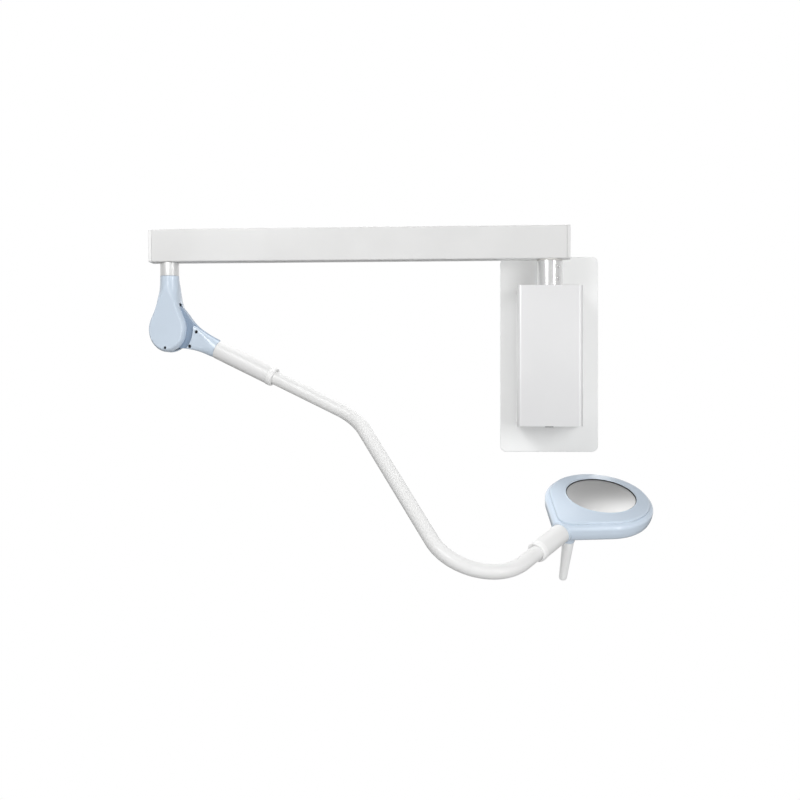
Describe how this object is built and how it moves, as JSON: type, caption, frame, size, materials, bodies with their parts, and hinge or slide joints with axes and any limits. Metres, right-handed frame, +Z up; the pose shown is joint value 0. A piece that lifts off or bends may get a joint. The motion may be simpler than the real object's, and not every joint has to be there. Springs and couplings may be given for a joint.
{
  "type": "wall mounted surgical light",
  "caption": "Wall mounted surgical light: a swinging beam, a pitching knuckle arm and a bent tube carry a drop-shaped LED head with a sterile handle.",
  "frame": {"origin": "centre of the wall plate's back face, on the wall", "axes": "+X right along the wall, +Y into the wall, +Z up; the beam lies along -X at rest"},
  "size_m": [1.0137, 0.4359, 0.6924],
  "materials": {
    "white_paint": "satin white paint",
    "white_plastic": "white moulded plastic",
    "plate_paint": "pale grey paint",
    "box_aluminium": "fine satin anodised",
    "satin_steel": "satin turned steel",
    "plain_steel": "plain steel",
    "bearing_bronze": "oiled bronze",
    "washer_plastic": "plain acetal",
    "blue_plastic": "glossy light blue",
    "blue_paint": "light blue painted casting",
    "dark_steel": "black oxide",
    "case_dark": "black case",
    "rubber": "black rubber",
    "dish_silver": "satin silver",
    "board_white": "white circuit board",
    "clear": "clear",
    "button_blue": "soft blue",
    "handle_grey": "grey-white sterilisable plastic"
  },
  "bodies": {
    "wall_bracket": {"wall_plate": "plate_paint", "pivot_bracket": "plain_steel", "pivot_tube": "white_paint", "brake_screw_upper": "satin_steel", "brake_screw_lower": "satin_steel", "brake_bush": "bearing_bronze", "lower_bush": "bearing_bronze", "thrust_washer": "washer_plastic", "cover_shell": "box_aluminium", "cover_top": "box_aluminium", "cover_bottom": "box_aluminium", "cable_grommet": "rubber", "cover_screw_1": "satin_steel", "cover_screw_2": "satin_steel", "cover_screw_3": "satin_steel", "cover_screw_4": "satin_steel", "power_supply": "case_dark"},
    "extension_arm": {"beam_tube": "white_paint", "beam_cap_wall": "white_plastic", "beam_cap_knuckle": "white_plastic", "beam_spindle": "plain_steel", "spindle_circlip": "plain_steel", "spindle_block": "satin_steel", "knuckle_block": "satin_steel", "knuckle_bush": "bearing_bronze", "beam_cable": "rubber"},
    "knuckle": {"knuckle_spindle": "satin_steel", "knuckle_circlip": "plain_steel", "knuckle_yoke": "satin_steel", "pitch_pin": "plain_steel", "pin_nut": "plain_steel", "friction_washer_front": "bearing_bronze", "friction_washer_back": "bearing_bronze", "drop_cover_front": "blue_plastic", "drop_cover_back": "blue_plastic", "drop_screw_front": "dark_steel", "drop_screw_back": "dark_steel"},
    "pitch_arm": {"arm_hub": "blue_paint", "cone_cover_front": "blue_plastic", "cone_cover_back": "blue_plastic", "cone_screw_upper": "dark_steel", "cone_screw_lower": "dark_steel", "arm_sleeve": "white_paint", "arm_sleeve_ring": "white_plastic", "roll_bush": "bearing_bronze"},
    "tube": {"curved_tube": "white_paint", "tube_cable": "rubber", "tube_stop_ring": "plain_steel", "tube_end_clip": "plain_steel"},
    "head": {"head_sleeve": "white_paint", "head_sleeve_ring": "white_plastic", "head_roll_bush": "bearing_bronze", "head_housing": "blue_plastic", "head_cover": "blue_plastic", "dish": "dish_silver", "led_board": "board_white", "lens_array": "clear", "light_window": "clear", "handle": "handle_grey"},
    "button": {"switch_button": "button_blue"}
  },
  "joints": [
    {"name": "beam_swing", "type": "hinge", "parent": "wall_bracket", "child": "extension_arm", "pos_m": [0, -0.084, 0.22], "axis": [0, 0, 1], "range_deg": [0, 180]},
    {"name": "knuckle_swing", "type": "hinge", "parent": "extension_arm", "child": "knuckle", "pos_m": [-0.774, -0.084, 0.17], "axis": [0, 0, 1], "range_deg": [-165, 165]},
    {"name": "arm_pitch", "type": "hinge", "parent": "knuckle", "child": "pitch_arm", "pos_m": [-0.774, -0.084, 0.0507], "axis": [-0.1908, -0.9816, 0], "range_deg": [-36, 36]},
    {"name": "tube_roll", "type": "hinge", "parent": "pitch_arm", "child": "tube", "pos_m": [-0.59304, -0.11918, -0.02721], "axis": [0.8897, -0.1729, -0.4226], "range_deg": [-90, 90]},
    {"name": "head_roll", "type": "hinge", "parent": "tube", "child": "head", "pos_m": [-0.00159, -0.30699, -0.35308], "axis": [0.5562, 0.7468, 0.3647], "range_deg": [-150, 150]},
    {"name": "switch_press", "type": "slide", "parent": "head", "child": "button", "axis": [0.1122, -0.4056, 0.9071], "range_m": [0, 0.001], "stiffness_N_per_m": 400, "springref_m": -0.001}
  ]
}
